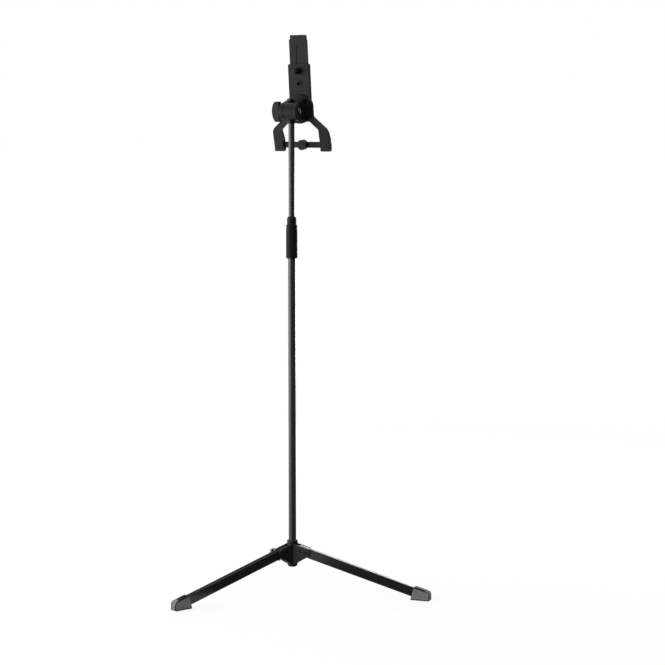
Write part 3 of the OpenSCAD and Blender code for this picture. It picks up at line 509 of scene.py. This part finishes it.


# Guide housing and cover: a shallow channel for the upper hook's arm, closed by a screwed cover.
# Both are the wishbone's plastic. Low ribs on the cover stiffen it between the pads.
# A near-black ring round the sunk stop peg on the housing's back is painted shade for the dark hole there.
finish_node("guide_housing", frame_plastic, rounding=0.0005)
finish_node("front_cover", frame_plastic, rounding=0.0004)
finish_node("cover_screws", blackened_steel)
# The peg is steel, and its near-black colour is painted shade for the dark hole at the peg.
oiled_steel_painted_shade = plated_steel("oiled_steel_painted_shade", colour=(0.005, 0.005, 0.005), rough=(0.55, 0.70))
finish_node("stop_peg", oiled_steel_painted_shade, rounding=0.0003)
finish_node("clamp_bush", turned_brass)

turn_axis = Vector(joints["holder_turn"]["axis"])
holder_axis = tilt_axis @ Matrix.Rotation(math.atan2(turn_axis.z, turn_axis.y), 4, "X")


# A node's lowest and highest corners in the leaning holder's own frame.
def box_on_holder(name):
    points = [holder_axis.inverted() @ corner.co for corner in nodes[name].data.vertices]
    low = Vector([min(point[axis] for point in points) for axis in range(3)])
    high = Vector([max(point[axis] for point in points) for axis in range(3)])
    return low, high


ring_bore, ring_rim = 0.0032, 0.0054
ring_sunk, ring_wall, ring_proud, ring_edge = 0.0003, 0.0004, 0.0007, 0.0004
ring_outline = [(ring_bore, -ring_sunk), (ring_rim, -ring_sunk), (ring_rim, ring_wall),
                (ring_rim - ring_edge, ring_proud), (ring_bore + ring_edge, ring_proud),
                (ring_bore, ring_wall)]
peg_low, peg_high = box_on_holder("stop_peg")
peg_sunk = 0.0007
facing_back = Matrix.Rotation(math.radians(-90.0), 4, "X")
peg_spot = (0.0, peg_high.y + peg_sunk, (peg_low.z + peg_high.z) / 2)
peg_place = holder_axis @ Matrix.Translation(peg_spot) @ facing_back
# Painted shade: the ring's near-black rubber puts a dark disc where there is only the shade of the hole.
painted_shade_rubber = soft_rubber("painted_shade_rubber", dark=(0.003, 0.003, 0.003), pale=(0.005, 0.005, 0.005))
turned_piece("peg_ring", ring_outline, peg_place, painted_shade_rubber, "holder")


def add_bar(bm, low, high):
    made = bmesh.ops.create_cube(bm, size=1.0)["verts"]
    bmesh.ops.scale(bm, vec=Vector(high) - Vector(low), verts=made)
    bmesh.ops.translate(bm, vec=(Vector(high) + Vector(low)) / 2, verts=made)


def round_over(bm, width):
    bmesh.ops.bevel(bm, geom=bm.edges[:], offset=width, segments=2, profile=0.5, affect="EDGES",
                    material=-1)


cover_face = box_on_holder("front_cover")[0].y
stiffener_pitch, stiffener_half = 0.012, 0.001
stiffener_foot, stiffener_top = 0.004, 0.086
stiffener_proud, stiffener_root = 0.0007, 0.0004
bm = bmesh.new()
for step in (-1.5, -0.5, 0.5, 1.5):
    x = step * stiffener_pitch
    add_bar(bm, (x - stiffener_half, cover_face - stiffener_proud, stiffener_foot),
            (x + stiffener_half, cover_face + stiffener_root, stiffener_top))
round_over(bm, width=0.0003)
bmesh.ops.transform(bm, matrix=holder_axis, verts=bm.verts)
add_piece("cover_ribs", bm, frame_plastic, "holder")


# Upper hook and clamp: a flat arm that slides in the housing, and a fluted thumb knob that clamps it.
# The arm and the knob are black plastic; the knob is moulded on a steel stud and closed by a small cap.
finish_node("slide_arm", frame_plastic, rounding=0.0004)
finish_node("clamp_stud", bright_zinc)
finish_node("clamp_knob", frame_plastic, rounding=0.0003)
stud_low, stud_high = box_on_holder("clamp_stud")
knob_spot = (0.0, box_on_holder("clamp_knob")[1].y, (stud_low.z + stud_high.z) / 2)
knob_place = holder_axis @ Matrix.Translation(knob_spot) @ facing_back
clamp_plug = plug_outline(radius=0.0036, sunk=0.0005)
turned_piece("clamp_button", clamp_plug, knob_place, grip_nylon, "clamp")


# Pads: soft rubber glued to the hooks and to the cover, where the device rests.
# Fine ribs on the pads give the rubber its grip.
pad_rubber = soft_rubber("pad_rubber", dark=(0.012, 0.012, 0.012), pale=(0.020, 0.020, 0.020))
rib_proud, rib_root = 0.0004, 0.0006


def cut_slab(bm, corners, thickness):
    sheet = bm.faces.new([bm.verts.new(corner) for corner in corners])
    grown = bmesh.ops.extrude_face_region(bm, geom=[sheet])["geom"]
    moved = [part for part in grown if isinstance(part, bmesh.types.BMVert)]
    bmesh.ops.translate(bm, vec=thickness, verts=moved)


def add_pad(name, bm, body):
    round_over(bm, width=0.00025)
    bmesh.ops.transform(bm, matrix=holder_axis, verts=bm.verts)
    return add_piece(name, bm, pad_rubber, body)


def rounded_strip(half_width, half_height, corner_r, middle):
    corners = []
    for quarter, (right, top) in enumerate(((1, 1), (-1, 1), (-1, -1), (1, -1))):
        for turn in (0, 30, 60, 90):
            angle = math.radians(90 * quarter + turn)
            across = right * (half_width - corner_r) + corner_r * math.cos(angle)
            rise = top * (half_height - corner_r) + corner_r * math.sin(angle)
            corners.append((across, cover_face, middle + rise))
    return corners


strip_low, strip_high = box_on_holder("back_pads")
strip_half, strip_corner = 0.005, 0.003
strip_rib_pitch, strip_rib_half, strip_rib_reach = 0.0037, 0.0009, 0.0040
pad_face = strip_low.y
bm = bmesh.new()
for middle in (strip_high.z - strip_half, strip_low.z + strip_half):
    outline = rounded_strip(strip_high.x, strip_half, strip_corner, middle)
    cut_slab(bm, outline, (0.0, pad_face - cover_face, 0.0))
    for step in range(-5, 6):
        x = step * strip_rib_pitch
        add_bar(bm, (x - strip_rib_half, pad_face - rib_proud, middle - strip_rib_reach),
                (x + strip_rib_half, pad_face + rib_root, middle + strip_rib_reach))
back_strips = add_pad("back_strips", bm, "holder")
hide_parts("back_pads")

toe_low, toe_high = box_on_holder("lower_pads")
toe_half, toe_rib_inset = 0.0040, 0.0006
toe, ledge, heel_top = toe_low.y, toe_low.z, toe_high.z
rest = ledge + cover_face - pad_face
sole_rib_start, sole_rib_pitch, sole_rib_half = 0.0011, 0.0022, 0.0006
heel_rib_start, heel_rib_pitch, heel_rib_half = 0.0035, 0.0030, 0.0007
bm = bmesh.new()
for middle in (toe_low.x + toe_half, toe_high.x - toe_half):
    low_x = middle - toe_half
    rib_low, rib_high = low_x + toe_rib_inset, middle + toe_half - toe_rib_inset
    cut_slab(bm, [(low_x, toe, ledge), (low_x, cover_face, ledge), (low_x, cover_face, heel_top),
                  (low_x, pad_face, heel_top), (low_x, pad_face, rest), (low_x, toe, rest)],
             (2 * toe_half, 0.0, 0.0))
    for step in range(3):
        y = toe + sole_rib_start + step * sole_rib_pitch
        add_bar(bm, (rib_low, y - sole_rib_half, rest - rib_root),
                (rib_high, y + sole_rib_half, rest + rib_proud))
    for step in range(5):
        z = rest + heel_rib_start + step * heel_rib_pitch
        add_bar(bm, (rib_low, pad_face - rib_proud, z - heel_rib_half),
                (rib_high, pad_face + rib_root, z + heel_rib_half))
toe_pads = add_pad("toe_pads", bm, "holder")
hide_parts("lower_pads")

hook_low, hook_high = box_on_holder("hook_pad")
hook_rib_inset, hook_rib_pitch, hook_rib_half = 0.0008, 0.0036, 0.0009
seat, grip = hook_high.z, hook_low.z
bm = bmesh.new()
cut_slab(bm, [(hook_low.x, hook_low.y, seat), (hook_high.x, hook_low.y, seat),
              (hook_high.x, hook_high.y, seat), (hook_low.x, hook_high.y, seat)], (0.0, 0.0, grip - seat))
for step in range(-3, 4):
    x = step * hook_rib_pitch
    add_bar(bm, (x - hook_rib_half, hook_low.y + hook_rib_inset, grip - rib_proud),
            (x + hook_rib_half, hook_high.y - hook_rib_inset, grip + rib_root))
hook_strip = add_pad("hook_strip", bm, "slide")
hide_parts("hook_pad")
